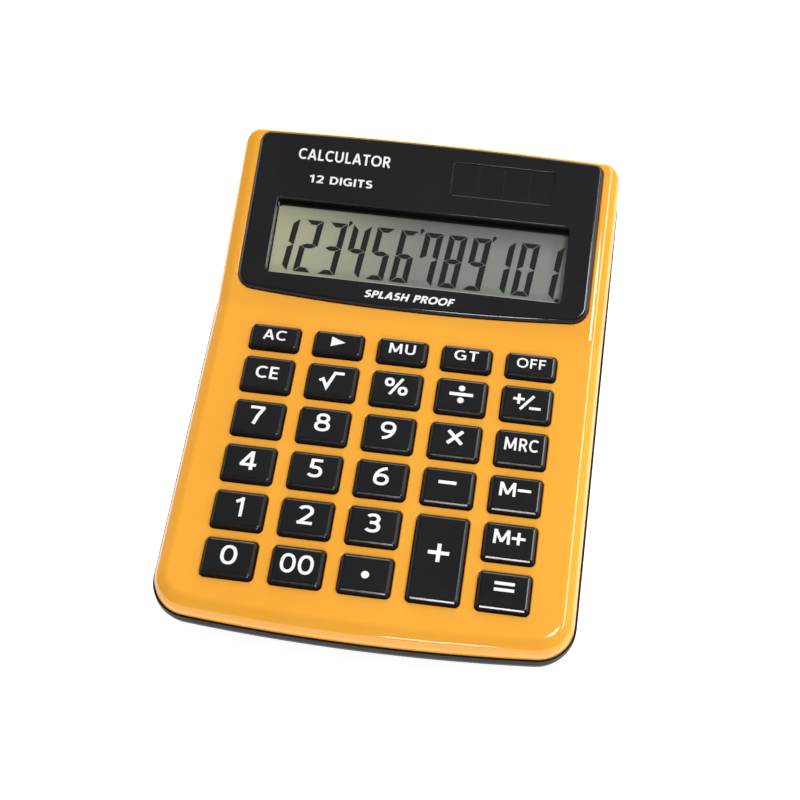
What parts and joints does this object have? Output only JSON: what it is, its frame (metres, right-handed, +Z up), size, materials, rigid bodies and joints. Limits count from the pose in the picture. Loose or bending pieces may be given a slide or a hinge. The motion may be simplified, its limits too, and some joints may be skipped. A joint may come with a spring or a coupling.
{
  "type": "pocket calculator",
  "caption": "Water-protected desk and pocket calculator with a tilted solar-and-battery display and sprung keys over a sealed keypad.",
  "frame": {"origin": "on the desk, under the middle of the case's box", "axes": "+X to the user's right, +Y from the user towards the display, +Z up out of the keypad, along which the keys travel"},
  "size_m": [0.106, 0.1446, 0.0274],
  "materials": {
    "case_orange": "glossy moulded",
    "case_black": "fine moulded grain",
    "key_black": "glossy",
    "bezel_black": "high gloss",
    "window_clear": "clear acrylic",
    "lcd_glass": "grey-green reflective display",
    "solar_dark": "dark, with fine lines",
    "holder_plastic": "moulded",
    "ribbon_foil": "amber foil",
    "silicone": "translucent",
    "carbon": "matt",
    "board_green": "solder mask",
    "chip_epoxy": "glossy blob",
    "component_metal": "satin",
    "screw_steel": "zinc plated",
    "cell_steel": "satin",
    "contact_brass": "plated",
    "lead_red": "insulation",
    "lead_black": "insulation",
    "seal_rubber": "matt",
    "foot_rubber": "matt",
    "adhesive_foam": "foam"
  },
  "bodies": {
    "case": {"front_case": "case_orange", "rear_case": "case_black", "case_seal": "seal_rubber", "case_screws": "screw_steel", "screw_seals": "seal_rubber", "rubber_feet": "foot_rubber", "display_bezel": "bezel_black", "bezel_gasket": "adhesive_foam", "display_window": "window_clear", "lcd_panel": "lcd_glass", "lcd_holder": "holder_plastic", "lcd_ribbon": "ribbon_foil", "solar_cell": "solar_dark", "solar_leads": "lead_red", "keypad_membrane": "silicone", "contact_pills": "carbon", "circuit_board": "board_green", "controller_chip": "chip_epoxy", "board_components": "component_metal", "board_screws": "screw_steel", "battery": "cell_steel", "battery_contact_positive": "contact_brass", "battery_contact_negative": "contact_brass", "battery_leads": "lead_black", "battery_cover": "case_black", "battery_cover_seal": "seal_rubber", "battery_cover_screw": "screw_steel"},
    "key_0": {"key_0": "key_black"},
    "key_00": {"key_00": "key_black"},
    "key_point": {"key_point": "key_black"},
    "key_plus": {"key_plus": "key_black"},
    "key_equals": {"key_equals": "key_black"},
    "key_1": {"key_1": "key_black"},
    "key_2": {"key_2": "key_black"},
    "key_3": {"key_3": "key_black"},
    "key_memory_plus": {"key_memory_plus": "key_black"},
    "key_4": {"key_4": "key_black"},
    "key_5": {"key_5": "key_black"},
    "key_6": {"key_6": "key_black"},
    "key_minus": {"key_minus": "key_black"},
    "key_memory_minus": {"key_memory_minus": "key_black"},
    "key_7": {"key_7": "key_black"},
    "key_8": {"key_8": "key_black"},
    "key_9": {"key_9": "key_black"},
    "key_multiply": {"key_multiply": "key_black"},
    "key_memory_recall": {"key_memory_recall": "key_black"},
    "key_clear_entry": {"key_clear_entry": "key_black"},
    "key_square_root": {"key_square_root": "key_black"},
    "key_percent": {"key_percent": "key_black"},
    "key_divide": {"key_divide": "key_black"},
    "key_change_sign": {"key_change_sign": "key_black"},
    "key_all_clear": {"key_all_clear": "key_black"},
    "key_backspace": {"key_backspace": "key_black"},
    "key_mark_up": {"key_mark_up": "key_black"},
    "key_grand_total": {"key_grand_total": "key_black"},
    "key_off": {"key_off": "key_black"}
  },
  "joints": [
    {"name": "press_0", "type": "slide", "parent": "case", "child": "key_0", "axis": [0, 0, -1], "range_m": [0, 0.0011], "stiffness_N_per_m": 450, "springref_m": -0.0004, "deforming": ["keypad_membrane", "contact_pills"]},
    {"name": "press_00", "type": "slide", "parent": "case", "child": "key_00", "axis": [0, 0, -1], "range_m": [0, 0.0011], "stiffness_N_per_m": 450, "springref_m": -0.0004, "deforming": ["keypad_membrane", "contact_pills"]},
    {"name": "press_point", "type": "slide", "parent": "case", "child": "key_point", "axis": [0, 0, -1], "range_m": [0, 0.0011], "stiffness_N_per_m": 450, "springref_m": -0.0004, "deforming": ["keypad_membrane", "contact_pills"]},
    {"name": "press_plus", "type": "slide", "parent": "case", "child": "key_plus", "axis": [0, 0, -1], "range_m": [0, 0.0011], "stiffness_N_per_m": 450, "springref_m": -0.0004, "deforming": ["keypad_membrane", "contact_pills"]},
    {"name": "press_equals", "type": "slide", "parent": "case", "child": "key_equals", "axis": [0, 0, -1], "range_m": [0, 0.0011], "stiffness_N_per_m": 450, "springref_m": -0.0004, "deforming": ["keypad_membrane", "contact_pills"]},
    {"name": "press_1", "type": "slide", "parent": "case", "child": "key_1", "axis": [0, 0, -1], "range_m": [0, 0.0011], "stiffness_N_per_m": 450, "springref_m": -0.0004, "deforming": ["keypad_membrane", "contact_pills"]},
    {"name": "press_2", "type": "slide", "parent": "case", "child": "key_2", "axis": [0, 0, -1], "range_m": [0, 0.0011], "stiffness_N_per_m": 450, "springref_m": -0.0004, "deforming": ["keypad_membrane", "contact_pills"]},
    {"name": "press_3", "type": "slide", "parent": "case", "child": "key_3", "axis": [0, 0, -1], "range_m": [0, 0.0011], "stiffness_N_per_m": 450, "springref_m": -0.0004, "deforming": ["keypad_membrane", "contact_pills"]},
    {"name": "press_memory_plus", "type": "slide", "parent": "case", "child": "key_memory_plus", "axis": [0, 0, -1], "range_m": [0, 0.0011], "stiffness_N_per_m": 450, "springref_m": -0.0004, "deforming": ["keypad_membrane", "contact_pills"]},
    {"name": "press_4", "type": "slide", "parent": "case", "child": "key_4", "axis": [0, 0, -1], "range_m": [0, 0.0011], "stiffness_N_per_m": 450, "springref_m": -0.0004, "deforming": ["keypad_membrane", "contact_pills"]},
    {"name": "press_5", "type": "slide", "parent": "case", "child": "key_5", "axis": [0, 0, -1], "range_m": [0, 0.0011], "stiffness_N_per_m": 450, "springref_m": -0.0004, "deforming": ["keypad_membrane", "contact_pills"]},
    {"name": "press_6", "type": "slide", "parent": "case", "child": "key_6", "axis": [0, 0, -1], "range_m": [0, 0.0011], "stiffness_N_per_m": 450, "springref_m": -0.0004, "deforming": ["keypad_membrane", "contact_pills"]},
    {"name": "press_minus", "type": "slide", "parent": "case", "child": "key_minus", "axis": [0, 0, -1], "range_m": [0, 0.0011], "stiffness_N_per_m": 450, "springref_m": -0.0004, "deforming": ["keypad_membrane", "contact_pills"]},
    {"name": "press_memory_minus", "type": "slide", "parent": "case", "child": "key_memory_minus", "axis": [0, 0, -1], "range_m": [0, 0.0011], "stiffness_N_per_m": 450, "springref_m": -0.0004, "deforming": ["keypad_membrane", "contact_pills"]},
    {"name": "press_7", "type": "slide", "parent": "case", "child": "key_7", "axis": [0, 0, -1], "range_m": [0, 0.0011], "stiffness_N_per_m": 450, "springref_m": -0.0004, "deforming": ["keypad_membrane", "contact_pills"]},
    {"name": "press_8", "type": "slide", "parent": "case", "child": "key_8", "axis": [0, 0, -1], "range_m": [0, 0.0011], "stiffness_N_per_m": 450, "springref_m": -0.0004, "deforming": ["keypad_membrane", "contact_pills"]},
    {"name": "press_9", "type": "slide", "parent": "case", "child": "key_9", "axis": [0, 0, -1], "range_m": [0, 0.0011], "stiffness_N_per_m": 450, "springref_m": -0.0004, "deforming": ["keypad_membrane", "contact_pills"]},
    {"name": "press_multiply", "type": "slide", "parent": "case", "child": "key_multiply", "axis": [0, 0, -1], "range_m": [0, 0.0011], "stiffness_N_per_m": 450, "springref_m": -0.0004, "deforming": ["keypad_membrane", "contact_pills"]},
    {"name": "press_memory_recall", "type": "slide", "parent": "case", "child": "key_memory_recall", "axis": [0, 0, -1], "range_m": [0, 0.0011], "stiffness_N_per_m": 450, "springref_m": -0.0004, "deforming": ["keypad_membrane", "contact_pills"]},
    {"name": "press_clear_entry", "type": "slide", "parent": "case", "child": "key_clear_entry", "axis": [0, 0, -1], "range_m": [0, 0.0011], "stiffness_N_per_m": 450, "springref_m": -0.0004, "deforming": ["keypad_membrane", "contact_pills"]},
    {"name": "press_square_root", "type": "slide", "parent": "case", "child": "key_square_root", "axis": [0, 0, -1], "range_m": [0, 0.0011], "stiffness_N_per_m": 450, "springref_m": -0.0004, "deforming": ["keypad_membrane", "contact_pills"]},
    {"name": "press_percent", "type": "slide", "parent": "case", "child": "key_percent", "axis": [0, 0, -1], "range_m": [0, 0.0011], "stiffness_N_per_m": 450, "springref_m": -0.0004, "deforming": ["keypad_membrane", "contact_pills"]},
    {"name": "press_divide", "type": "slide", "parent": "case", "child": "key_divide", "axis": [0, 0, -1], "range_m": [0, 0.0011], "stiffness_N_per_m": 450, "springref_m": -0.0004, "deforming": ["keypad_membrane", "contact_pills"]},
    {"name": "press_change_sign", "type": "slide", "parent": "case", "child": "key_change_sign", "axis": [0, 0, -1], "range_m": [0, 0.0011], "stiffness_N_per_m": 450, "springref_m": -0.0004, "deforming": ["keypad_membrane", "contact_pills"]},
    {"name": "press_all_clear", "type": "slide", "parent": "case", "child": "key_all_clear", "axis": [0, 0, -1], "range_m": [0, 0.0011], "stiffness_N_per_m": 450, "springref_m": -0.0004, "deforming": ["keypad_membrane", "contact_pills"]},
    {"name": "press_backspace", "type": "slide", "parent": "case", "child": "key_backspace", "axis": [0, 0, -1], "range_m": [0, 0.0011], "stiffness_N_per_m": 450, "springref_m": -0.0004, "deforming": ["keypad_membrane", "contact_pills"]},
    {"name": "press_mark_up", "type": "slide", "parent": "case", "child": "key_mark_up", "axis": [0, 0, -1], "range_m": [0, 0.0011], "stiffness_N_per_m": 450, "springref_m": -0.0004, "deforming": ["keypad_membrane", "contact_pills"]},
    {"name": "press_grand_total", "type": "slide", "parent": "case", "child": "key_grand_total", "axis": [0, 0, -1], "range_m": [0, 0.0011], "stiffness_N_per_m": 450, "springref_m": -0.0004, "deforming": ["keypad_membrane", "contact_pills"]},
    {"name": "press_off", "type": "slide", "parent": "case", "child": "key_off", "axis": [0, 0, -1], "range_m": [0, 0.0011], "stiffness_N_per_m": 450, "springref_m": -0.0004, "deforming": ["keypad_membrane", "contact_pills"]}
  ]
}
